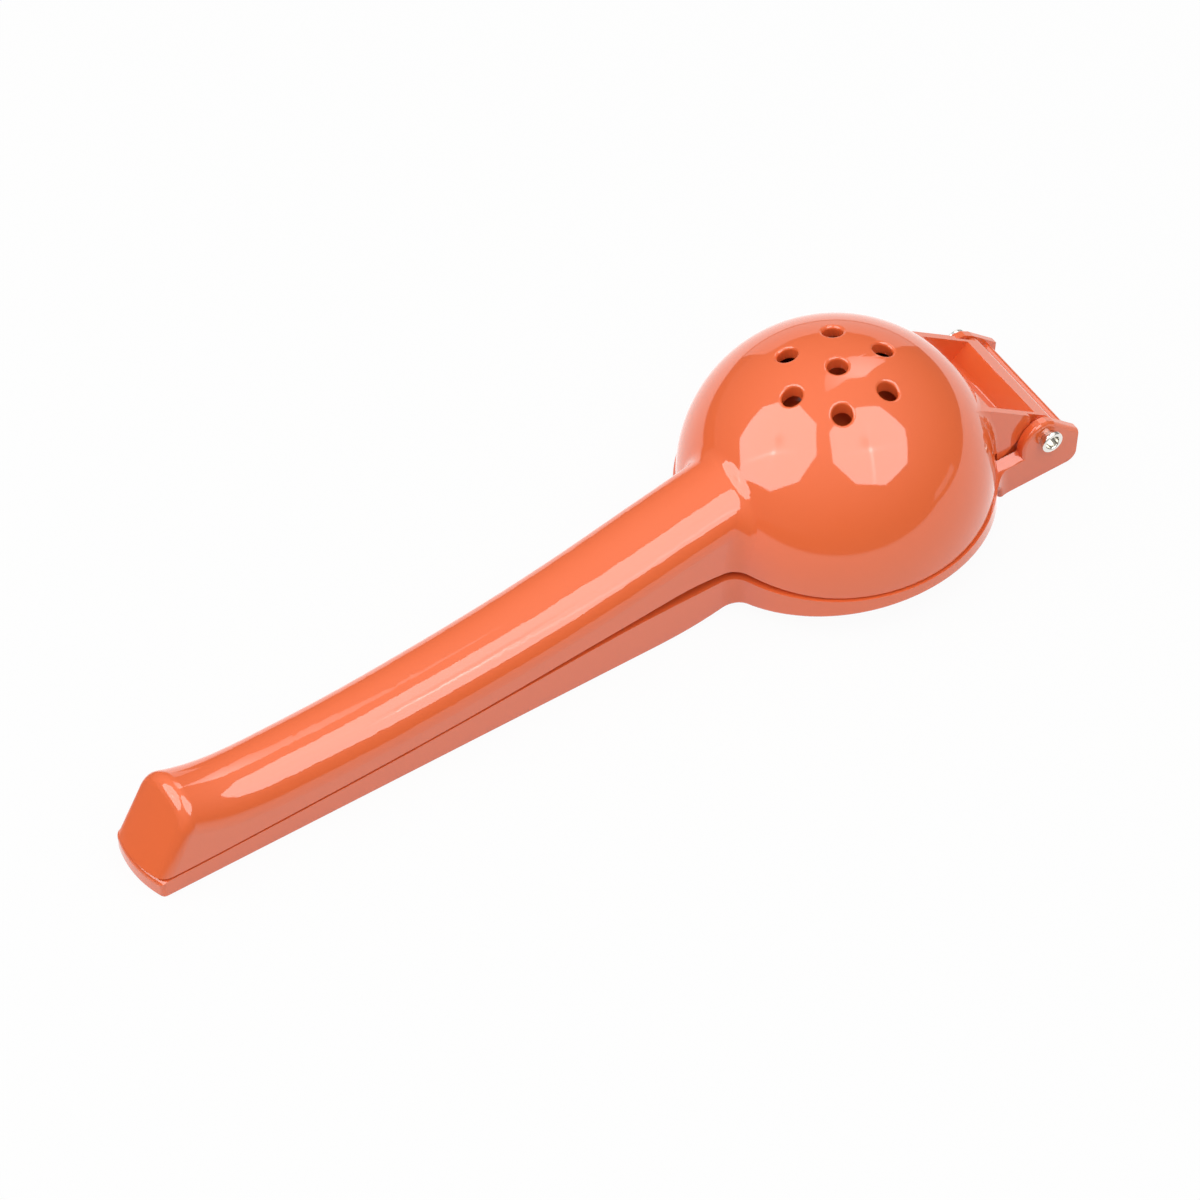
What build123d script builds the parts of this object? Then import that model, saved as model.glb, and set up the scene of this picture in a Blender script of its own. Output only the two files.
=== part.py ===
"""Hinged lemon squeezer: two enamelled aluminium castings that turn on one tubular steel rivet.

The squeezer lies closed on its side of rest: bowl up, handles to -X, hinge to +X.  All sizes are
millimetres.  Everything is drawn in the arm frame, where the bowl's axis is Z and the bowl's rim is
z = 0; as a last step each piece is moved so that the underside rests on z = 0 and the origin is
under the middle of the squeezer.
"""
import os
from math import cos, radians, sin, sqrt

from build123d import *

# ---- bowl -------------------------------------------------------------------------------------
BOWL_RADIUS = 34.0            # outside of the bowl
BOWL_WALL = 3.0
BOWL_SKIRT = 1.6              # short straight wall between the sphere and the rim
HOLE_DIAMETER = 4.4
HOLE_LIP = 0.6                # rounding of each juice hole's outer edge
HOLE_RING_RADIUS = 11.56      # circle of the outer holes, about the central one
RING_HOLES = 6

# ---- plunger and the plate round it -------------------------------------------------------------
REST_DEPTH = 11.1             # the underside that the squeezer rests on, below the rim
PLATE_RADIUS = BOWL_RADIUS + 0.5
PLATE_TOP = -0.5              # the plate closes the bowl with this gap under the rim
PLATE_EDGE = 3.4              # height of the plate's edge where the arch below it is highest
ARCH_X = 2.0                  # where the arch under the plate is highest
ARCH_RADIUS = 140.0
ARCH_END_X = 10.0 - BOWL_RADIUS   # in front of this the underside runs down to the handle's own
NECK_UNDER = (-BOWL_RADIUS - 2.0, 1.7 - REST_DEPTH)   # middle of that run
HANDLE_UNDER_X = -BOWL_RADIUS - 18.0      # and its end
PLUNGER_RADIUS = BOWL_RADIUS - 8.0   # outside of the plunger's dome
PLUNGER_SKIRT = 1.6           # straight wall between the dome and the plate
PLUNGER_FOOT = 1.5            # inside corner between the dome and the plate
PLUNGER_WALL = 2.8

# ---- handles ----------------------------------------------------------------------------------
TAIL_X = -BOWL_RADIUS - 144.3   # end of both handles at the seam
ROOT_HALF_WIDTH = 10.2        # half width of both handles where they leave the bowl
TAIL_HALF_WIDTH = 8.8
CROWN_HEIGHT = 8.0            # the crown is half an ellipse of this height on straight sides
NECK_BLEND = 5.0              # inside corner between a handle and the bowl or plate
ARM_WALL = 2.6                # wall of both handle channels
SEAM_GAP = 0.6                # between the two handles where they lie together
SEAM_LEVEL = -5.4             # lower edge of the bowl arm from the tail to where it starts to rise
TAIL_LEAN = 27.0              # degrees that the bowl arm's tail face leans back from upright
TAIL_BULGE = 24.0             # the tail face curves from side to side with this radius
TAIL_ROUND = 3.0              # rounding between the tail face, the sides and the crown
FOOT_LEAN = 4.0              # degrees that the plunger arm's tail face leans inward going down
FOOT_ROUND = 0.8              # rounding of the handle's lower edges
TAIL_CORNER = 1.4             # upright corners of the plunger arm's tail
# three long lines of the handles: how far behind the back of the bowl, how high above the rim
# crown of the bowl arm's handle
CROWN_RUN = [(-10.0, 22.0), (10.0, 17.7), (31.0, 13.5), (51.0, 10.5), (72.0, 8.5), (92.0, 7.45),
             (107.0, 7.5), (118.0, 8.0), (127.0, 9.7), (134.0, 12.3), (142.0, 16.4), (152.0, 22.6)]
# lower edge of the bowl arm, which stands off the plunger arm beside the bowl
SEAM_RUN = [(140.0, SEAM_LEVEL), (111.0, -4.75), (86.0, -3.8), (58.0, -2.0), (36.0, 0.1), (20.0, 1.6),
            (10.0, 2.4), (-2.0, 1.3), (-16.0, 0.0)]
# top of the plunger arm's handle
WEB_RUN = [(140.0, SEAM_LEVEL - SEAM_GAP), (111.0, -5.35), (86.0, -4.45), (56.0, -2.6), (34.0, -1.1),
           (16.0, PLATE_TOP)]

# ---- hinge ------------------------------------------------------------------------------------
PIN_X = BOWL_RADIUS + 9.8     # hinge axis: distance from the bowl's axis
PIN_Z = -0.1                  # and height from the rim
RIVET_RADIUS = 2.0
RIVET_BORE = 1.6              # radius of the hollow in each end of the rivet
RIVET_RECESS = 1.5            # and its depth
RIVET_COLLAR_RADIUS = 2.2     # plain collar between each ear and the rivet's head
RIVET_COLLAR_HEIGHT = 0.9
RIVET_HEAD_RADIUS = 2.6
RIVET_HEAD_HEIGHT = 1.0
RIVET_HEAD_ROUND = 0.35
PIN_CLEARANCE = 0.05          # radial, between the rivet and the barrel that turns on it
BARREL_RADIUS = 3.4
LUG_HALF_WIDTH = 13.8         # outside of the fins
LUG_WAIST_HALF_WIDTH = 13.0   # the lug is narrower between the fins and the barrel
LUG_SLOPE = 37.5              # degrees that the lug's top falls towards the hinge
LUG_BOTTOM = -3.4             # underside of the lug, in the pocket between the ears
LUG_FRONT_X = BOWL_RADIUS - 1.75  # where the lug starts to reach below the rim
LUG_BLEND = 2.0               # inside corner between the fins and the bowl
FIN_ROOT_X = BOWL_RADIUS - 14.0   # the fins start here, inside the bowl's wall
FIN_THICKNESS = 1.6
FIN_CORNER = (PIN_X - 3.0, 3.2)   # rear end of the fin's lower edge
FIN_TOE = (BOWL_RADIUS - 1.75, -3.55)   # front end of that edge, hidden below the rim
FIN_ROUND = 1.2
TROUGH_REAR_X = PIN_X - 0.8   # the trough between the fins ends here, at the lug's top
TROUGH_FLOOR = 1.0            # height of its floor
TROUGH_ROUND = 3.2            # inside corner between floor and rear wall
EAR_GAP = 0.3                 # between the lug and each ear
EAR_THICKNESS = 2.2
EAR_FRONT = (PIN_X - 6.6, -0.9)   # the ear's upright front edge ends here and turns into its crown
EAR_BROW = (PIN_X - 4.8, 3.1)     # middle of that curve
EAR_CROWN = (PIN_X - 1.7, 4.75)   # its end, at the ear's highest point
EAR_BACK = [(PIN_X, 4.5), (PIN_X + 1.9, 3.2), (PIN_X + 8.15, -2.8)]   # the ear's top edge behind its crown
EAR_HEEL_X = PIN_X + 7.4      # back of the ear at the bottom
EAR_HEEL_ROUND = 2.5
EAR_ROUND = 0.9               # rounding of the ears' outside edges
FLANGE_TOP = -1.8             # top of the low walls that join the ears to the plate
FLANGE_BLEND = 6.0            # inside corner between those walls and the plate
FLANGE_ROUND = 5.0            # their tops curve down to the outside with this radius
FLANGE_SHOULDER = 3.7         # from this far inside the ears' faces
FLANGE_FALL = 60.0            # down to this many degrees, then straight
CHIN_X = BOWL_RADIUS - 2.9    # the ears' underside starts here, behind the arch
CHIN_BLEND = 3.0              # inside corner between the arch and the ears' front
POCKET_X = BOWL_RADIUS - 2.55 # front of the pocket between the ears
POCKET_FLOOR = -3.8
BRIDGE_THICKNESS = 3.0
BAR_X = PIN_X + 3.9           # front of the bar that joins the ears and stops the lug
BAR_THICKNESS = 2.6
BAR_TOP = -1.8
BAR_ROUND = 1.1

# ---- derived ----------------------------------------------------------------------------------
EAR_INNER = LUG_HALF_WIDTH + EAR_GAP
EAR_OUTER = EAR_INNER + EAR_THICKNESS
CROWN_LINE = [(-BOWL_RADIUS - behind, height) for behind, height in CROWN_RUN]
SEAM_LINE = [(-BOWL_RADIUS - behind, height) for behind, height in SEAM_RUN]
WEB_LINE = [(-BOWL_RADIUS - behind, height) for behind, height in WEB_RUN]
ARCH_TOP = PLATE_TOP - PLATE_EDGE
DEEP = -16.0                  # lower than any piece, where tools start
FAR = 70.0                    # farther than any piece, where tools end


def half_width(x):
    """Half width of the handles at a distance along X."""
    along = (x + BOWL_RADIUS) / (TAIL_X + BOWL_RADIUS)
    return ROOT_HALF_WIDTH + (TAIL_HALF_WIDTH - ROOT_HALF_WIDTH) * along


def lug_top(x):
    """Height of the lug's sloping top, which is a tangent of the barrel."""
    run, rise = sin(radians(LUG_SLOPE)), cos(radians(LUG_SLOPE))
    return PIN_Z + (BARREL_RADIUS - (x - PIN_X) * run) / rise


def slab(outline, y_low, y_high):
    """A sketch in X and Z made solid from one y to another."""
    return extrude(Plane.XZ.offset(-y_low) * outline, amount=-(y_high - y_low))


def polygon(*points):
    return make_face(Polyline(*points, close=True))


# ---- bowl arm ---------------------------------------------------------------------------------

def crown_section(x, crown, inset):
    """The handle's upright D section: half an ellipse on straight sides."""
    half = half_width(x) - inset
    rise = CROWN_HEIGHT - inset
    shoulder = crown - CROWN_HEIGHT
    with BuildSketch(Plane.YZ.offset(x)) as section:
        with BuildLine():
            EllipticalCenterArc((0, shoulder), half, rise, arc_size=180)
            Polyline((-half, shoulder), (-half, DEEP), (half, DEEP), (half, shoulder))
        make_face()
    return section.sketch


def tail_cutter(lean, level, inset):
    """Everything behind a tail face that leans from upright and passes TAIL_X at a level."""
    angle = radians(lean)
    hub = Pos(TAIL_X + TAIL_BULGE * cos(angle), 0, level - TAIL_BULGE * sin(angle)) * Rot(0, lean, 0)
    behind = hub * Box(FAR, FAR, 2 * FAR, align=(Align.MAX, Align.CENTER, Align.CENTER))
    return behind - hub * Cylinder(TAIL_BULGE - inset, 3 * FAR)


def upper_handle():
    """The bowl arm's handle before its channel is cut, with a rounded tail."""
    handle = loft([crown_section(x, crown, 0) for x, crown in CROWN_LINE])
    handle = handle - tail_cutter(TAIL_LEAN, SEAM_LEVEL, 0)
    tail = handle.faces().sort_by(Axis.X)[0]
    rounded = [edge for edge in tail.edges() if edge.bounding_box().max.Z > DEEP + 1]
    return handle.fillet(TAIL_ROUND, rounded)


def handle_channel():
    """The hollow of the bowl arm's handle."""
    front = -BOWL_RADIUS - ARM_WALL
    stations = [(x, crown) for x, crown in CROWN_LINE if x < front - 1]
    first = CROWN_LINE[0], CROWN_LINE[1]
    slope = (first[0][1] - first[1][1]) / (first[0][0] - first[1][0])
    start = (front, first[1][1] + slope * (front - first[1][0]))
    channel = loft([crown_section(x, crown, ARM_WALL) for x, crown in [start] + stations])
    return channel - tail_cutter(TAIL_LEAN, SEAM_LEVEL, ARM_WALL)


def seam_space(points, end_x, side):
    """What lies above (side 1) or below (side -1) a line of heights along the arm."""
    start = (TAIL_X - FAR, points[0][1])
    with BuildSketch() as sketch:
        with BuildLine():
            Line(start, points[0])
            Spline(*points, tangents=[(1, 0), (1, 0)])
            Polyline(points[-1], (end_x, points[-1][1]), (end_x, side * FAR), (start[0], side * FAR), start)
        make_face()
    return slab(sketch.sketch, -FAR, FAR)


def domed_plug(radius, height, bottom):
    """A round plug with a spherical top whose centre is at a height, and straight walls below."""
    ball = Pos(0, 0, height) * Sphere(radius)
    half = ball & Pos(0, 0, height) * Cylinder(
        radius + 1, radius + 1, align=(Align.CENTER, Align.CENTER, Align.MIN))
    return half + Pos(0, 0, bottom) * Cylinder(
        radius, height - bottom, align=(Align.CENTER, Align.CENTER, Align.MIN))


def pin(radius, half_length):
    """A cylinder on the hinge axis."""
    return Pos(PIN_X, 0, PIN_Z) * Rot(90, 0, 0) * Cylinder(radius, 2 * half_length)


def fin_outline():
    start = (FIN_ROOT_X, DEEP)
    rear = (FIN_CORNER[0], lug_top(FIN_CORNER[0]))
    face = polygon(start, (start[0], lug_top(start[0])), rear, FIN_CORNER, FIN_TOE, (FIN_TOE[0], DEEP))
    corners = [v for v in face.vertices() if v.X > FIN_CORNER[0] - 0.1]
    return fillet(corners, FIN_ROUND)


def lug_outline():
    """The lug between the fins: sloping top, barrel, and the part that dips below the rim."""
    lean = radians(LUG_SLOPE)
    touch = (PIN_X + BARREL_RADIUS * sin(lean), PIN_Z + BARREL_RADIUS * cos(lean))
    body = polygon((FIN_ROOT_X, 0), (FIN_ROOT_X, lug_top(FIN_ROOT_X)), touch, (PIN_X, PIN_Z),
                   (PIN_X, LUG_BOTTOM), (LUG_FRONT_X, LUG_BOTTOM), (LUG_FRONT_X, 0))
    return body + Pos(PIN_X, PIN_Z) * Circle(BARREL_RADIUS)


def trough():
    """The open-topped hollow between the fins."""
    front = BOWL_RADIUS - BOWL_WALL
    rear = (TROUGH_REAR_X, lug_top(TROUGH_REAR_X))
    face = polygon((front, TROUGH_FLOOR), (TROUGH_REAR_X - 4.5, TROUGH_FLOOR), rear,
                   (rear[0], FAR), (front, FAR))
    corner = [v for v in face.vertices() if v.Y < TROUGH_FLOOR + 0.1 and v.X > front + 1]
    face = fillet(corner, TROUGH_ROUND)
    half = LUG_HALF_WIDTH - FIN_THICKNESS
    hollow = slab(face, -half, half) - domed_plug(BOWL_RADIUS, BOWL_SKIRT, DEEP)
    return hollow


def hole_places():
    return [(0, 0)] + [(p.X, p.Y) for p in
                       (Vector(HOLE_RING_RADIUS, 0, 0).rotate(Axis.Z, 360 / RING_HOLES * n)
                        for n in range(RING_HOLES))]


def lipped_holes(body):
    """The bowl's juice holes, straight down, with rounded outer edges."""
    for x, y in hole_places():
        drill = Pos(x, y, BOWL_SKIRT) * Cylinder(
            HOLE_DIAMETER / 2, 2 * BOWL_RADIUS, align=(Align.CENTER, Align.CENTER, Align.MIN))
        drilled = body - drill
        lips = new_edges(body, drill, combined=drilled).sort_by(Axis.Z)
        outer = [edge for edge in lips if edge.center().Z > lips[-1].center().Z - 1]
        body = drilled.fillet(HOLE_LIP, outer)
    return body


def bowl_arm():
    ball = domed_plug(BOWL_RADIUS, BOWL_SKIRT, DEEP)
    handle = upper_handle()
    body = ball + handle
    body = body.fillet(NECK_BLEND, new_edges(ball, handle, combined=body))
    fins = slab(fin_outline(), -LUG_HALF_WIDTH, LUG_HALF_WIDTH)
    joined = body + fins
    seams = [edge for edge in new_edges(body, fins, combined=joined)
             if edge.center().Z > BOWL_SKIRT or abs(edge.center().Y) > LUG_HALF_WIDTH - 1]
    body = joined.fillet(LUG_BLEND, seams)
    above = seam_space(SEAM_LINE, FAR, 1)
    dip = slab(polygon((LUG_FRONT_X, LUG_BOTTOM), (FAR, LUG_BOTTOM), (FAR, 1), (LUG_FRONT_X, 1)),
               -LUG_HALF_WIDTH, LUG_HALF_WIDTH)
    body = (body & above) + (fins & dip)
    body = body + slab(lug_outline(), -LUG_WAIST_HALF_WIDTH, LUG_WAIST_HALF_WIDTH)
    body = body + pin(BARREL_RADIUS, LUG_HALF_WIDTH)
    body = body - trough()
    body = body - domed_plug(BOWL_RADIUS - BOWL_WALL, BOWL_SKIRT, DEEP)
    body = body - handle_channel()
    body = body - pin(RIVET_RADIUS + PIN_CLEARANCE, EAR_OUTER)
    return lipped_holes(body)


# ---- plunger arm ------------------------------------------------------------------------------

def plan_outline():
    """The plunger arm from above: plate, handle and fork, with blended inside corners."""
    handle = polygon((0, half_width(0)), (TAIL_X, half_width(TAIL_X)),
                     (TAIL_X, -half_width(TAIL_X)), (0, -half_width(0)))
    fork_end = EAR_BACK[-1][0] + 1
    fork = polygon((0, EAR_OUTER), (fork_end, EAR_OUTER), (fork_end, -EAR_OUTER), (0, -EAR_OUTER))
    face = Circle(PLATE_RADIUS) + handle + fork
    on_plate = [v for v in face.vertices() if abs(sqrt(v.X ** 2 + v.Y ** 2) - PLATE_RADIUS) < 0.01]
    face = fillet([v for v in on_plate if v.X < 0], NECK_BLEND)
    on_plate = [v for v in face.vertices() if abs(abs(v.Y) - EAR_OUTER) < 0.01 and v.X < PLATE_RADIUS]
    return fillet(on_plate, FLANGE_BLEND)


def arch_height(x):
    """Height of the arched underside of the plate."""
    return ARCH_TOP - ARCH_RADIUS + sqrt(ARCH_RADIUS ** 2 - (x - ARCH_X) ** 2)


def side_outline():
    """The plunger arm from the side, without its plunger and ears."""
    foot = (TAIL_X, -REST_DEPTH)
    end_x = EAR_BACK[-1][0] + 1
    with BuildSketch() as sketch:
        with BuildLine():
            Polyline(foot, (TAIL_X, WEB_LINE[0][1]), WEB_LINE[0])
            Spline(*WEB_LINE, tangents=[(1, 0), (1, 0)])
            Polyline(WEB_LINE[-1], (end_x, PLATE_TOP), (end_x, -REST_DEPTH), (CHIN_X, -REST_DEPTH),
                     (CHIN_X, arch_height(CHIN_X)))
            arch_end = (ARCH_END_X, arch_height(ARCH_END_X))
            ThreePointArc((CHIN_X, arch_height(CHIN_X)), (ARCH_X, ARCH_TOP), arch_end)
            rise = ARCH_RADIUS ** 2 - (ARCH_END_X - ARCH_X) ** 2
            Spline(arch_end, NECK_UNDER, (HANDLE_UNDER_X, -REST_DEPTH),
                   tangents=[(-sqrt(rise), ARCH_END_X - ARCH_X), (-1, 0)])
            Line((HANDLE_UNDER_X, -REST_DEPTH), foot)
        make_face()
    face = sketch.sketch
    chin = [v for v in face.vertices() if abs(v.X - CHIN_X) < 0.1 and v.Y > -REST_DEPTH + 1]
    return fillet(chin, CHIN_BLEND)


def ear_outline():
    """One ear from the side: round crown in front, falling back edge, rounded heel."""
    with BuildSketch() as sketch:
        with BuildLine():
            Line((EAR_FRONT[0], -REST_DEPTH), EAR_FRONT)
            ThreePointArc(EAR_FRONT, EAR_BROW, EAR_CROWN)
            Polyline(EAR_CROWN, *EAR_BACK, (EAR_HEEL_X, -REST_DEPTH), (EAR_FRONT[0], -REST_DEPTH))
        make_face()
    face = sketch.sketch
    heel = [v for v in face.vertices() if v.X > EAR_HEEL_X - 0.1 and v.Y < -REST_DEPTH + 0.1]
    return fillet(heel, EAR_HEEL_ROUND)


def ears():
    """Both ears, with their outside edges rounded."""
    made = []
    for side in (-1, 1):
        near, far = sorted((side * EAR_INNER, side * EAR_OUTER))
        ear = slab(ear_outline(), near, far)
        outer = ear.faces().sort_by(Axis.Y)[0 if side < 0 else -1]
        rounded = [edge for edge in outer.edges()
                   if edge.center().Z > EAR_FRONT[1] and edge.center().X < EAR_BACK[-1][0] + 0.1]
        made.append(ear.fillet(EAR_ROUND, rounded))
    return made


def flange_hood():
    """The space under the shoulders of the low walls that join the ears to the plate."""
    fall = radians(FLANGE_FALL)
    start = EAR_OUTER - FLANGE_SHOULDER
    half_way = (start + FLANGE_ROUND * sin(fall / 2), FLANGE_TOP - FLANGE_ROUND * (1 - cos(fall / 2)))
    bend = (start + FLANGE_ROUND * sin(fall), FLANGE_TOP - FLANGE_ROUND * (1 - cos(fall)))
    foot = (bend[0] + (bend[1] - DEEP) * cos(fall) / sin(fall), DEEP)
    with BuildSketch(Plane.YZ) as sketch:
        with BuildLine():
            Polyline((0, DEEP), (0, FLANGE_TOP), (start, FLANGE_TOP))
            ThreePointArc((start, FLANGE_TOP), half_way, bend)
            Polyline(bend, foot, (0, DEEP))
        make_face()
        mirror(about=Plane.YZ)
    return extrude(sketch.sketch, amount=FAR)


def stop_bar():
    """The bar across the back of the fork."""
    bar = polygon((BAR_X, -REST_DEPTH), (BAR_X, BAR_TOP), (BAR_X + BAR_THICKNESS, BAR_TOP),
                  (BAR_X + BAR_THICKNESS, -REST_DEPTH))
    top = [v for v in bar.vertices() if v.Y > BAR_TOP - 0.1]
    return slab(fillet(top, BAR_ROUND), -EAR_INNER, EAR_INNER)


def under_core():
    """The hollow under the plate and the handle, a wall's thickness inside their outlines."""
    outline = offset(plan_outline(), -ARM_WALL)
    core = Pos(0, 0, DEEP) * extrude(outline, amount=-DEEP)
    ceiling = [(x, z - ARM_WALL) for x, z in WEB_LINE]
    core = core & seam_space(ceiling, FAR, -1)
    front = slab(polygon((POCKET_X - ARM_WALL, DEEP), (FAR, DEEP), (FAR, FAR), (POCKET_X - ARM_WALL, FAR)),
                 -FAR, FAR)
    return core - front


def on_level(edge, level):
    """Whether an edge lies at one height."""
    return all(abs(edge.position_at(along).Z - level) < 0.01 for along in (0, 0.5, 1))


def handle_and_plate():
    """The lower handle, the plate with its arched underside, and a full-height fork."""
    low = Pos(0, 0, DEEP) * extrude(plan_outline(), amount=-DEEP)
    body = low & slab(side_outline(), -FAR, FAR)
    body = body - tail_cutter(-FOOT_LEAN, WEB_LINE[0][1], 0)
    tail = body.faces().sort_by(Axis.X)[0]
    upright = [edge for edge in tail.edges() if abs(edge.center().Y) > TAIL_HALF_WIDTH / 2]
    body = body.fillet(TAIL_CORNER, upright)
    lowest = [edge for edge in body.edges()
              if on_level(edge, -REST_DEPTH) and edge.center().X < HANDLE_UNDER_X]
    return body.fillet(FOOT_ROUND, lowest)


def beside_flanges():
    """What lies outside the plate and above the shoulders of the flanges."""
    outside = Cylinder(2 * FAR, FAR, align=(Align.CENTER, Align.CENTER, Align.MIN))
    outside = outside - Cylinder(PLATE_RADIUS, 2 * FAR, align=(Align.CENTER, Align.CENTER, Align.MIN))
    outside = Pos(0, 0, DEEP) * outside
    return outside & Pos(FAR + BOWL_RADIUS / 2, 0, 0) * Box(2 * FAR, 2 * FAR, 2 * FAR) - flange_hood()


def behind(x, low, high):
    """A block from x backwards and between two heights, as wide as the gap between the ears."""
    return slab(polygon((x, low), (FAR, low), (FAR, high), (x, high)), -EAR_INNER, EAR_INNER)


def fork(body):
    """The plate's body with the flanges, the ears, the pocket between them and the stop bar."""
    body = body - beside_flanges()
    flange_end = EAR_FRONT[0] + 1.5 * EAR_ROUND
    rest_of_fork = Box(FAR, 2 * FAR, 2 * FAR, align=(Align.MIN, Align.CENTER, Align.MIN))
    body = body - Pos(flange_end, 0, DEEP) * rest_of_fork
    for ear in ears():
        body = body + ear
    body = body - behind(POCKET_X, POCKET_FLOOR, FAR)
    body = body - behind(POCKET_X, DEEP, POCKET_FLOOR - BRIDGE_THICKNESS)
    return body + stop_bar()


def plunger_arm():
    body = fork(handle_and_plate())
    plunger = domed_plug(PLUNGER_RADIUS, PLATE_TOP + PLUNGER_SKIRT, ARCH_TOP)
    joined = body + plunger
    foot = [edge for edge in new_edges(body, plunger, combined=joined)
            if abs(edge.center().Z - PLATE_TOP) < 0.1]
    body = joined.fillet(PLUNGER_FOOT, foot)
    body = body - domed_plug(PLUNGER_RADIUS - PLUNGER_WALL, PLATE_TOP + PLUNGER_SKIRT, DEEP)
    body = body - under_core()
    return body - pin(RIVET_RADIUS, FAR)


def hinge_rivet():
    """The tubular rivet: a hollow shank with a collar and a round-edged head at each end."""
    head_foot = EAR_OUTER + RIVET_COLLAR_HEIGHT
    end = head_foot + RIVET_HEAD_HEIGHT
    heads = pin(RIVET_HEAD_RADIUS, end) - pin(RIVET_HEAD_RADIUS + 1, head_foot)
    rims = heads.edges().filter_by(GeomType.CIRCLE)
    heads = heads.fillet(RIVET_HEAD_ROUND, rims)
    collars = pin(RIVET_COLLAR_RADIUS, head_foot + RIVET_HEAD_HEIGHT / 2)
    collars = collars - pin(RIVET_COLLAR_RADIUS + 1, EAR_OUTER)
    whole = pin(RIVET_RADIUS, end) + heads + collars
    core = end - RIVET_RECESS
    whole = whole - (pin(RIVET_BORE, FAR) - pin(RIVET_RADIUS, core))
    mouths = [edge for edge in whole.edges().filter_by(GeomType.CIRCLE)
              if edge.radius < RIVET_BORE + 0.01 and abs(edge.center().Y) > core + 0.1]
    return whole.fillet(RIVET_HEAD_ROUND, mouths)


# ---- placing ----------------------------------------------------------------------------------

def placing(pieces):
    """The move from the arm frame to the squeezer's own: on z = 0, origin under the middle."""
    boxes = [piece.bounding_box() for piece in pieces]
    middle = (min(box.min.X for box in boxes) + max(box.max.X for box in boxes)) / 2
    return Pos(-middle, 0, REST_DEPTH)


def main():
    os.makedirs("parts", exist_ok=True)
    pieces = {"bowl_arm": bowl_arm(), "plunger_arm": plunger_arm(), "hinge_rivet": hinge_rivet()}
    move = placing(pieces.values())
    for name, piece in pieces.items():
        solid = (move * piece).solid()
        solid.label = name
        export_step(solid, f"parts/{name}.step")


if __name__ == "__main__":
    main()
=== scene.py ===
"""Looks of a hinged citrus squeezer of enamelled cast aluminium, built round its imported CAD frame."""

import logging
import math
from dataclasses import dataclass, field
from enum import Enum
from typing import Any

import bpy
from mathutils import Matrix, Vector

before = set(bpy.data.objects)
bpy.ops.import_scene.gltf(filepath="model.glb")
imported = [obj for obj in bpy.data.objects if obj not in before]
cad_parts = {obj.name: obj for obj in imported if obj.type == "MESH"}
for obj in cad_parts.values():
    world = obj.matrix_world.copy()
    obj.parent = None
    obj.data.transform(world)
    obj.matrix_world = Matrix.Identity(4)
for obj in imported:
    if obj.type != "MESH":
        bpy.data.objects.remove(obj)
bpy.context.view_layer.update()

MM = 0.001
LOG = logging.getLogger("squeezer")


def linear(code: str) -> tuple[float, float, float, float]:
    """Turns an sRGB colour into the linear one that a shader takes.

    Args:
        code: the colour as "#RRGGBB".

    Returns:
        Red, green, blue and a full alpha.
    """
    parts = [int(code[i : i + 2], 16) / 255 for i in (1, 3, 5)]
    red, green, blue = (p / 12.92 if p <= 0.04045 else ((p + 0.055) / 1.055) ** 2.4 for p in parts)
    return (red, green, blue, 1.0)


def add_node(tree: bpy.types.NodeTree, kind: str, wires: dict[str, Any] | None = None, **settings: Any) -> Any:
    """Adds one node to a tree.

    Args:
        tree: the node tree that gets it.
        kind: the node's type name in bpy.types.
        wires: a value or a socket to link for each input, by its name or number.
        settings: the node's own properties.

    Returns:
        The new node.
    """
    node = tree.nodes.new(kind)
    for name, value in settings.items():
        setattr(node, name, value)
    for name, value in (wires or {}).items():
        socket = node.inputs[name]
        if isinstance(value, bpy.types.NodeSocket):
            tree.links.new(value, socket)
        else:
            socket.default_value = value
    return node


def empty_material(name: str) -> tuple[bpy.types.Material, bpy.types.NodeTree]:
    """Makes a material with an empty node tree.

    Args:
        name: the material's name.

    Returns:
        The material and its tree.
    """
    material = bpy.data.materials.new(name)
    material.use_nodes = True
    material.node_tree.nodes.clear()
    return material, material.node_tree


@dataclass(frozen=True)
class StoveEnamel:
    """Glossy stove enamel sprayed on cast aluminium: even colour, mirror gloss, a faint orange peel."""

    name: str = "stove_enamel_on_cast_aluminium"
    colour: str = "#E86836"
    thin_colour: str = "#EA6C3B"
    gloss_ior: float = 1.6
    roughness: float = 0.055
    peel_width: float = 2.6 * MM
    peel_depth: float = 0.0022 * MM
    tone_width: float = 38 * MM

    def material(self) -> bpy.types.Material:
        """Builds the enamel's shader.

        Returns:
            The finished material.
        """
        material, tree = empty_material(self.name)
        place = add_node(tree, "ShaderNodeTexCoord")
        # The casting under the coat is never quite even, so the colour drifts a little over centimetres.
        drift = add_node(
            tree,
            "ShaderNodeTexNoise",
            {"Vector": place.outputs["Object"], "Scale": 1 / self.tone_width, "Detail": 2.0},
        )
        colour = add_node(
            tree,
            "ShaderNodeMix",
            {"Factor": drift.outputs["Fac"], 6: linear(self.colour), 7: linear(self.thin_colour)},
            data_type="RGBA",
        )
        # Sprayed coats dry in ripples of some 2 to 3 mm, which bend reflected edges slightly.
        peel = add_node(
            tree,
            "ShaderNodeTexNoise",
            {"Vector": place.outputs["Object"], "Scale": 1 / self.peel_width, "Detail": 1.0},
        )
        ripple = add_node(
            tree,
            "ShaderNodeBump",
            {"Height": peel.outputs["Fac"], "Strength": 1.0, "Distance": self.peel_depth},
        )
        shader = add_node(
            tree,
            "ShaderNodeBsdfPrincipled",
            {
                "Base Color": colour.outputs[2],
                "Roughness": self.roughness,
                "IOR": self.gloss_ior,
                "Normal": ripple.outputs["Normal"],
            },
        )
        add_node(tree, "ShaderNodeOutputMaterial", {"Surface": shader.outputs[0]})
        return material


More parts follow.
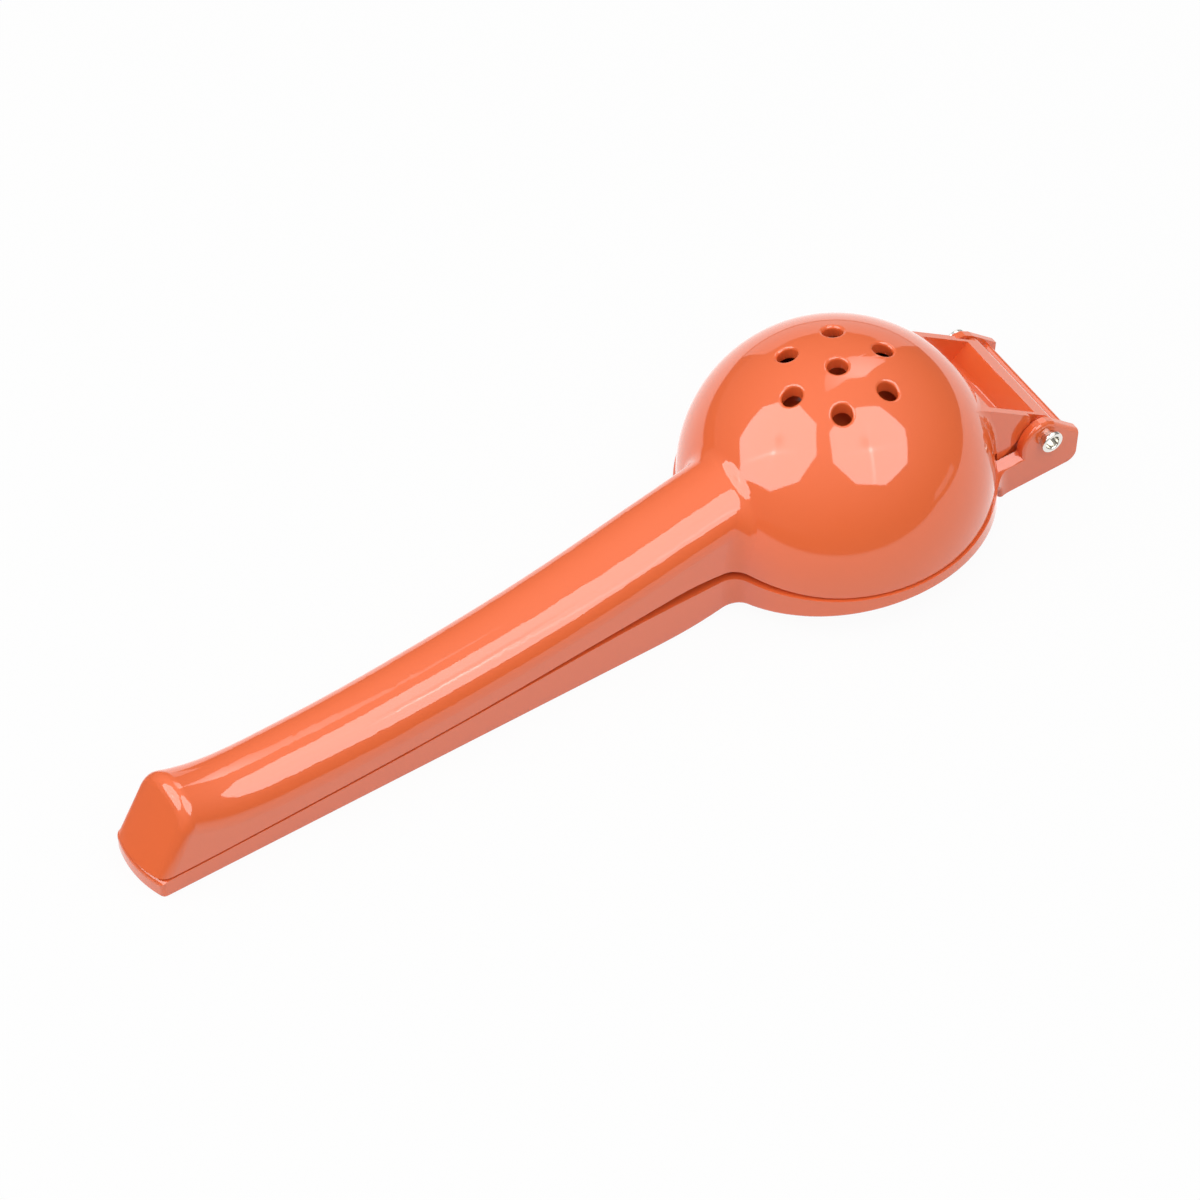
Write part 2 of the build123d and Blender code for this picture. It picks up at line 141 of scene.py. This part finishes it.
@dataclass(frozen=True)
class PlatedSteel:
    """A turned and set steel rivet with a bright plated skin: soft mirror with fine turning marks."""

    name: str = "nickel_plated_turned_steel"
    colour: str = "#D9D6CF"
    roughness: float = 0.16
    mark_width: float = 0.35 * MM
    mark_depth: float = 0.002 * MM

    def material(self) -> bpy.types.Material:
        """Builds the plated metal's shader.

        Returns:
            The finished material.
        """
        material, tree = empty_material(self.name)
        place = add_node(tree, "ShaderNodeTexCoord")
        # Turning leaves fine marks under the plating, which break up the bright reflections a little.
        marks = add_node(
            tree,
            "ShaderNodeTexNoise",
            {"Vector": place.outputs["Object"], "Scale": 1 / self.mark_width, "Detail": 2.0},
        )
        ripple = add_node(
            tree,
            "ShaderNodeBump",
            {"Height": marks.outputs["Fac"], "Strength": 1.0, "Distance": self.mark_depth},
        )
        shader = add_node(
            tree,
            "ShaderNodeBsdfPrincipled",
            {
                "Base Color": linear(self.colour),
                "Metallic": 1.0,
                "Roughness": self.roughness,
                "Normal": ripple.outputs["Normal"],
            },
        )
        add_node(tree, "ShaderNodeOutputMaterial", {"Surface": shader.outputs[0]})
        return material


class Finish(Enum):
    """The finishes that the squeezer's pieces come in."""

    ENAMELLED = StoveEnamel()
    PLATED = PlatedSteel()


@dataclass
class CastPiece:
    """A casting or a turned piece whose shape is the CAD node's own."""

    node: str
    finish: bpy.types.Material

    def dress(self) -> bpy.types.Object:
        """Puts the finish on the node.

        Returns:
            The node's object.
        """
        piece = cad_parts[self.node]
        piece.data.materials.clear()
        piece.data.materials.append(self.finish)
        return piece


def heading(azimuth: float, elevation: float) -> Vector:
    """Gives a direction from the squeezer.

    Args:
        azimuth: degrees from +X towards +Y.
        elevation: degrees above the floor.

    Returns:
        A vector of length 1.
    """
    turn, lift = math.radians(azimuth), math.radians(elevation)
    return Vector((math.cos(turn) * math.cos(lift), math.sin(turn) * math.cos(lift), math.sin(lift)))


def hang(name: str, corners: list[Vector], material: bpy.types.Material) -> bpy.types.Object:
    """Makes a flat lit sheet for the studio, which the camera doesn't see.

    Args:
        name: the sheet's name.
        corners: its corners in order.
        material: what it is lit with.

    Returns:
        The sheet's object.
    """
    mesh = bpy.data.meshes.new(name)
    mesh.from_pydata([tuple(corner) for corner in corners], [], [list(range(len(corners)))])
    mesh.materials.append(material)
    sheet = bpy.data.objects.new(name, mesh)
    bpy.context.scene.collection.objects.link(sheet)
    sheet.visible_camera = False
    sheet.visible_shadow = False
    return sheet


@dataclass(frozen=True)
class Streak:
    """A bright line in a softbox's cloth, where its silver lining gathers the lamp's light.

    The angle is in degrees, the length in metres and the gain a share of the cloth's level.
    """

    angle: float
    length: float
    gain: float


@dataclass
class Softbox:
    """An octagonal softbox that faces the squeezer.

    Lengths and places are in metres, the roll is in degrees, and the gains are shares of the cloth's level.
    """

    name: str
    towards: Vector
    radius: float
    roll: float
    hub: tuple[float, float]
    lamp: tuple[float, float]
    streaks: tuple[Streak, ...]
    distance: float = 0.95
    strength: float = 2.1
    shine: float = 5.0
    streak_width: float = 0.035
    sides: int = 8
    hub_reach: float = 0.06
    hub_gain: float = 0.3
    lamp_reach: float = 0.12
    lamp_gain: float = -0.24
    target: Vector = field(default_factory=lambda: Vector((0.063, 0.0, 0.03)))

    def ray(self, tree: bpy.types.NodeTree, flat: Any, streak: Streak) -> Any:
        """Draws one streak from the hub outwards.

        Args:
            tree: the cloth's node tree.
            flat: the socket with the place on the cloth.
            streak: the streak.

        Returns:
            The socket with the streak's gain.
        """
        along = add_node(
            tree,
            "ShaderNodeMapping",
            {
                "Vector": flat,
                "Location": (self.hub[0], self.hub[1], 0.0),
                "Rotation": (0.0, 0.0, math.radians(streak.angle)),
            },
            vector_type="TEXTURE",
        )
        axes = add_node(tree, "ShaderNodeSeparateXYZ", {0: along.outputs[0]})
        off = add_node(tree, "ShaderNodeMath", {0: axes.outputs[1]}, operation="ABSOLUTE")
        thin = add_node(
            tree,
            "ShaderNodeMapRange",
            {"Value": off.outputs[0], "From Max": self.streak_width, "To Min": 1.0, "To Max": 0.0},
            interpolation_type="SMOOTHSTEP",
        )
        fade = add_node(
            tree,
            "ShaderNodeMapRange",
            {"Value": axes.outputs[0], "From Max": streak.length, "To Min": 1.0, "To Max": 0.0},
        )
        start = add_node(
            tree,
            "ShaderNodeMapRange",
            {"Value": axes.outputs[0], "From Min": -self.streak_width, "From Max": 0.0},
            interpolation_type="SMOOTHSTEP",
        )
        line = add_node(tree, "ShaderNodeMath", {0: thin.outputs[0], 1: fade.outputs[0]}, operation="MULTIPLY")
        ray = add_node(tree, "ShaderNodeMath", {0: line.outputs[0], 1: start.outputs[0]}, operation="MULTIPLY")
        gain = add_node(tree, "ShaderNodeMath", {0: ray.outputs[0], 1: streak.gain}, operation="MULTIPLY")
        return gain.outputs[0]

    def patch(self, tree: bpy.types.NodeTree, flat: Any, centre: tuple[float, float], reach: float, gain: float) -> Any:
        """Draws one soft round patch.

        Args:
            tree: the cloth's node tree.
            flat: the socket with the place on the cloth.
            centre: the patch's centre on the cloth.
            reach: its radius.
            gain: its level at the centre.

        Returns:
            The socket with the patch's gain.
        """
        away = add_node(
            tree, "ShaderNodeVectorMath", {0: flat, 1: (centre[0], centre[1], 0.0)}, operation="DISTANCE"
        )
        patch = add_node(
            tree,
            "ShaderNodeMapRange",
            {"Value": away.outputs["Value"], "From Max": reach, "To Min": gain, "To Max": 0.0},
            interpolation_type="SMOOTHSTEP",
        )
        return patch.outputs[0]

    def material(self) -> bpy.types.Material:
        """Builds the lit cloth with its streaks, its bright hub and the lamp head's shadow.

        Returns:
            The finished material.
        """
        material, tree = empty_material(self.name + "_cloth")
        place = add_node(tree, "ShaderNodeTexCoord")
        flat = place.outputs["Object"]
        parts = [self.ray(tree, flat, streak) for streak in self.streaks]
        parts.append(self.patch(tree, flat, self.hub, self.hub_reach, self.hub_gain))
        parts.append(self.patch(tree, flat, self.lamp, self.lamp_reach, self.lamp_gain))
        level = None
        for part in parts:
            total = add_node(tree, "ShaderNodeMath", {0: part, 1: level if level else 1.0}, operation="ADD")
            level = total.outputs[0]
        rays = add_node(tree, "ShaderNodeLightPath")
        lamp = add_node(
            tree,
            "ShaderNodeMapRange",
            {"Value": rays.outputs["Is Glossy Ray"], "To Min": self.strength, "To Max": self.shine},
        )
        power = add_node(tree, "ShaderNodeMath", {0: level, 1: lamp.outputs[0]}, operation="MULTIPLY")
        lit = add_node(tree, "ShaderNodeEmission", {"Strength": power.outputs[0]})
        add_node(tree, "ShaderNodeOutputMaterial", {"Surface": lit.outputs[0]})
        return material

    def build(self) -> bpy.types.Object:
        """Makes the octagon, turned to the squeezer and unseen by the camera.

        Returns:
            The softbox's object.
        """
        angles = [math.radians(self.roll + 360 / self.sides * i) for i in range(self.sides)]
        corners = [Vector((self.radius * math.cos(a), self.radius * math.sin(a), 0.0)) for a in angles]
        box = hang(self.name, corners, self.material())
        way = self.towards.normalized()
        turn = way.to_track_quat("Z", "Y").to_matrix().to_4x4()
        box.matrix_world = Matrix.Translation(self.target + way * self.distance) @ turn
        return box


@dataclass
class Card:
    """A pale sheet in the room that only shows in the gloss, brightest at its first corner. Lengths are in metres."""

    name: str
    corners: list[Vector]
    level: float
    bright_level: float = 0.0
    reach: float = 1.0

    def material(self) -> bpy.types.Material:
        """Builds the sheet's light, which falls off from its first corner.

        Returns:
            The finished material.
        """
        material, tree = empty_material(self.name + "_sheet")
        place = add_node(tree, "ShaderNodeTexCoord")
        away = add_node(
            tree, "ShaderNodeVectorMath", {0: place.outputs["Object"], 1: self.corners[0]}, operation="DISTANCE"
        )
        light = add_node(
            tree,
            "ShaderNodeMapRange",
            {
                "Value": away.outputs["Value"],
                "From Max": self.reach,
                "To Min": max(self.bright_level, self.level),
                "To Max": self.level,
            },
            interpolation_type="SMOOTHSTEP",
        )
        rays = add_node(tree, "ShaderNodeLightPath")
        power = add_node(
            tree, "ShaderNodeMath", {0: light.outputs[0], 1: rays.outputs["Is Glossy Ray"]}, operation="MULTIPLY"
        )
        lit = add_node(tree, "ShaderNodeEmission", {"Strength": power.outputs[0]})
        add_node(tree, "ShaderNodeOutputMaterial", {"Surface": lit.outputs[0]})
        return material

    def build(self) -> bpy.types.Object:
        """Hangs the sheet.

        Returns:
            The sheet's object.
        """
        sheet = hang(self.name, self.corners, self.material())
        sheet.visible_diffuse = False
        return sheet


@dataclass
class Studio:
    """The pale floor, the white background and the lamps.

    Lengths are in metres and angles in degrees; a bearing is an azimuth and an elevation seen from the eye.
    """

    floor_half: float = 4.0
    floor_colour: str = "#D6D6D4"
    bowl: Vector = field(default_factory=lambda: Vector((0.063, 0.0, 0.0)))
    table_turn: float = -34.4
    table_front: float = 0.127
    table_back: float = 0.2
    table_left: float = 0.158
    table_right: float = 0.36
    table_fade: float = 0.016
    table_shine: float = 1.2
    room_low: float = 0.17
    room_high: float = 0.85
    room_side: float = 0.22
    room_rise: float = 1.5
    window_azimuth: float = 150.0
    fill_low: float = 0.17
    fill_high: float = 1.05
    fill_rise: float = 2.0
    camera_share: float = 0.95
    eye: Vector = field(default_factory=lambda: Vector((0.063, 0.0, 0.04)))
    ceiling_bearings: tuple[tuple[float, float], ...] = ((28, 52), (27, 29), (66, 41), (76, 71))
    box_bearings: tuple[tuple[float, float], ...] = ((-57, -5), (-31, -5), (-31, 1.5), (-52, 1.5))
    roll_away: float = 0.22
    roll_right: float = 0.106
    roll_left: float = 0.123
    roll_height: float = 0.078
    roll_lift: float = 0.001

    def table(self, tree: bpy.types.NodeTree, spot: Any) -> Any:
        """Marks the white table that the squeezer lies on.

        Args:
            tree: the floor's node tree.
            spot: the socket with the place on the floor.

        Returns:
            A socket that is 1 on the table and 0 off it.
        """
        turned = add_node(
            tree,
            "ShaderNodeMapping",
            {"Vector": spot, "Location": self.bowl, "Rotation": (0.0, 0.0, math.radians(self.table_turn))},
            vector_type="TEXTURE",
        )
        axes = add_node(tree, "ShaderNodeSeparateXYZ", {0: turned.outputs[0]})
        edges = (
            (axes.outputs[0], self.table_right, 1.0),
            (axes.outputs[0], self.table_left, -1.0),
            (axes.outputs[1], self.table_back, 1.0),
            (axes.outputs[1], self.table_front, -1.0),
        )
        inside = None
        for value, edge, sign in edges:
            side = add_node(
                tree,
                "ShaderNodeMapRange",
                {
                    "Value": value,
                    "From Min": sign * (edge + self.table_fade),
                    "From Max": sign * (edge - self.table_fade),
                },
                interpolation_type="SMOOTHSTEP",
            ).outputs[0]
            if inside is None:
                inside = side
            else:
                inside = add_node(tree, "ShaderNodeMath", {0: inside, 1: side}, operation="MULTIPLY").outputs[0]
        return inside

    def floor(self) -> bpy.types.Object:
        """Makes the floor, which the camera sees as white with a trace of the shadow.

        Returns:
            The floor's object.
        """
        half = self.floor_half
        mesh = bpy.data.meshes.new("studio_floor")
        mesh.from_pydata([(-half, -half, 0), (half, -half, 0), (half, half, 0), (-half, half, 0)], [], [[0, 1, 2, 3]])
        floor = bpy.data.objects.new("studio_floor", mesh)
        bpy.context.scene.collection.objects.link(floor)
        material, tree = empty_material("studio_floor_paper")
        place = add_node(tree, "ShaderNodeTexCoord")
        shine = add_node(
            tree,
            "ShaderNodeMapRange",
            {
                "Value": self.table(tree, place.outputs["Object"]),
                "To Min": self.room_low,
                "To Max": self.table_shine,
            },
        )
        rays = add_node(tree, "ShaderNodeLightPath")
        lit = add_node(tree, "ShaderNodeEmission", {"Strength": 1.0})
        card = add_node(tree, "ShaderNodeEmission", {"Strength": shine.outputs[0]})
        paper = add_node(tree, "ShaderNodeBsdfDiffuse", {"Color": linear(self.floor_colour)})
        glossy = add_node(
            tree,
            "ShaderNodeMixShader",
            {"Fac": rays.outputs["Is Glossy Ray"], 1: paper.outputs[0], 2: card.outputs[0]},
        )
        share = add_node(
            tree, "ShaderNodeMath", {0: rays.outputs["Is Camera Ray"], 1: self.camera_share}, operation="MULTIPLY"
        )
        seen = add_node(
            tree, "ShaderNodeMixShader", {"Fac": share.outputs[0], 1: glossy.outputs[0], 2: lit.outputs[0]}
        )
        add_node(tree, "ShaderNodeOutputMaterial", {"Surface": seen.outputs[0]})
        mesh.materials.append(material)
        return floor

    def world(self) -> None:
        """Makes the surroundings: white to the camera, a dim room in the gloss, a soft sky of fill elsewhere."""
        world = bpy.data.worlds.new("studio_room")
        bpy.context.scene.world = world
        world.use_nodes = True
        tree = world.node_tree
        tree.nodes.clear()
        rays = add_node(tree, "ShaderNodeLightPath")
        place = add_node(tree, "ShaderNodeTexCoord")
        axes = add_node(tree, "ShaderNodeSeparateXYZ", {0: place.outputs["Generated"]})
        lift = add_node(tree, "ShaderNodeMath", {0: axes.outputs[2], 1: 0.0}, operation="MAXIMUM")
        rise = add_node(tree, "ShaderNodeMath", {0: lift.outputs[0], 1: self.room_rise}, operation="POWER")
        walls = add_node(
            tree,
            "ShaderNodeMapRange",
            {"Value": rise.outputs[0], "To Min": self.room_low, "To Max": self.room_low + self.room_high},
        )
        across = add_node(
            tree,
            "ShaderNodeVectorMath",
            {0: place.outputs["Generated"], 1: heading(self.window_azimuth, 0.0)},
            operation="DOT_PRODUCT",
        )
        window = add_node(
            tree, "ShaderNodeMapRange", {"Value": across.outputs["Value"], "To Min": 0.0, "To Max": self.room_side}
        )
        room_level = add_node(tree, "ShaderNodeMath", {0: walls.outputs[0], 1: window.outputs[0]}, operation="ADD")
        high = add_node(tree, "ShaderNodeMath", {0: lift.outputs[0], 1: self.fill_rise}, operation="POWER")
        fill_level = add_node(
            tree,
            "ShaderNodeMapRange",
            {"Value": high.outputs[0], "To Min": self.fill_low, "To Max": self.fill_low + self.fill_high},
        )
        white_light = (1.0, 1.0, 1.0, 1.0)
        room, fill, white = (
            add_node(tree, "ShaderNodeBackground", {"Color": white_light, "Strength": strength})
            for strength in (room_level.outputs[0], fill_level.outputs[0], 1.0)
        )
        dim = add_node(
            tree, "ShaderNodeMixShader", {"Fac": rays.outputs["Is Glossy Ray"], 1: fill.outputs[0], 2: room.outputs[0]}
        )
        seen = add_node(
            tree, "ShaderNodeMixShader", {"Fac": rays.outputs["Is Camera Ray"], 1: dim.outputs[0], 2: white.outputs[0]}
        )
        add_node(tree, "ShaderNodeOutputWorld", {"Surface": seen.outputs[0]})

    def softboxes(self) -> None:
        """Hangs the two softboxes, one over the handles and one over the bowl's near side."""
        Softbox(
            "softbox_handle_side",
            Vector((-0.752, 0.232, 0.770)),
            radius=0.565,
            roll=-3.0,
            hub=(0.055, -0.075),
            lamp=(-0.02, 0.05),
            streaks=(
                Streak(-116.0, 0.5, 0.42),
                Streak(57.0, 0.34, 0.25),
                Streak(-60.0, 0.4, 0.1),
                Streak(150.0, 0.4, 0.1),
            ),
        ).build()
        Softbox(
            "softbox_near_side",
            Vector((0.145, -0.499, 0.864)),
            radius=0.54,
            roll=29.0,
            hub=(-0.035, -0.05),
            lamp=(-0.02, 0.06),
            streaks=(
                Streak(-122.0, 0.7, 0.45),
                Streak(-29.0, 0.5, 0.16),
                Streak(51.0, 0.4, 0.18),
                Streak(150.0, 0.5, 0.1),
            ),
        ).build()

    def cards(self) -> None:
        """Hangs the pale ceiling light behind the bowl, a paper roll that rises behind it and a pale box beside it."""
        ceiling = [self.eye + heading(*bearing) for bearing in self.ceiling_bearings]
        Card("ceiling_light", ceiling, level=1.9, bright_level=4.4, reach=0.5).build()
        side = heading(self.table_turn, 0.0)
        foot = self.bowl + heading(self.table_turn + 90, 0.0) * self.roll_away
        right, left = foot + side * self.roll_right, foot - side * self.roll_left
        low, high = Vector((0.0, 0.0, self.roll_lift)), Vector((0.0, 0.0, self.roll_height))
        Card("paper_roll", [right + low, left + low, left + high, right + high], level=0.9).build()
        Card("pale_box", [self.eye + heading(*bearing) for bearing in self.box_bearings], level=0.85).build()

    def build(self) -> None:
        """Builds the whole studio."""
        self.floor()
        self.world()
        self.softboxes()
        self.cards()
        bpy.context.scene.view_settings.view_transform = "Standard"


@dataclass(frozen=True)
class ViewCamera:
    """A long-lens camera on a high three-quarter view: distances in metres, angles in degrees, lens in millimetres."""

    azimuth: float = -34.431
    elevation: float = 49.168
    distance: float = 3.0
    lens: float = 424.3
    sensor: float = 36.0
    nearest: float = 0.1
    farthest: float = 50.0
    aim: tuple[float, float, float] = (0.010865, 0.012014, -0.005896)

    def build(self) -> bpy.types.Object:
        """Places the camera and makes it the scene's.

        Returns:
            The camera's object.
        """
        turn = math.radians(self.azimuth)
        lift = math.radians(self.elevation)
        back = Vector((math.sin(turn) * math.cos(lift), -math.cos(turn) * math.cos(lift), math.sin(lift)))
        data = bpy.data.cameras.new("view_camera")
        data.lens = self.lens
        data.sensor_width = self.sensor
        data.clip_start = self.nearest
        data.clip_end = self.farthest
        camera = bpy.data.objects.new("view_camera", data)
        bpy.context.scene.collection.objects.link(camera)
        camera.location = Vector(self.aim) + back * self.distance
        camera.rotation_mode = "QUATERNION"
        camera.rotation_quaternion = (-back).to_track_quat("-Z", "Y")
        bpy.context.scene.camera = camera
        return camera


def main() -> None:
    """Builds the squeezer's finishes, the studio and the camera."""
    logging.basicConfig(level=logging.INFO, format="%(message)s")
    coats = {finish: finish.value.material() for finish in Finish}
    pieces = {
        "bowl_arm": Finish.ENAMELLED,
        "plunger_arm": Finish.ENAMELLED,
        "hinge_rivet": Finish.PLATED,
    }
    for node, finish in pieces.items():
        piece = CastPiece(node, coats[finish]).dress()
        LOG.info("%s: %d triangles, %s", piece.name, len(piece.data.polygons), coats[finish].name)
    Studio().build()
    ViewCamera().build()


if __name__ == "__main__":
    main()
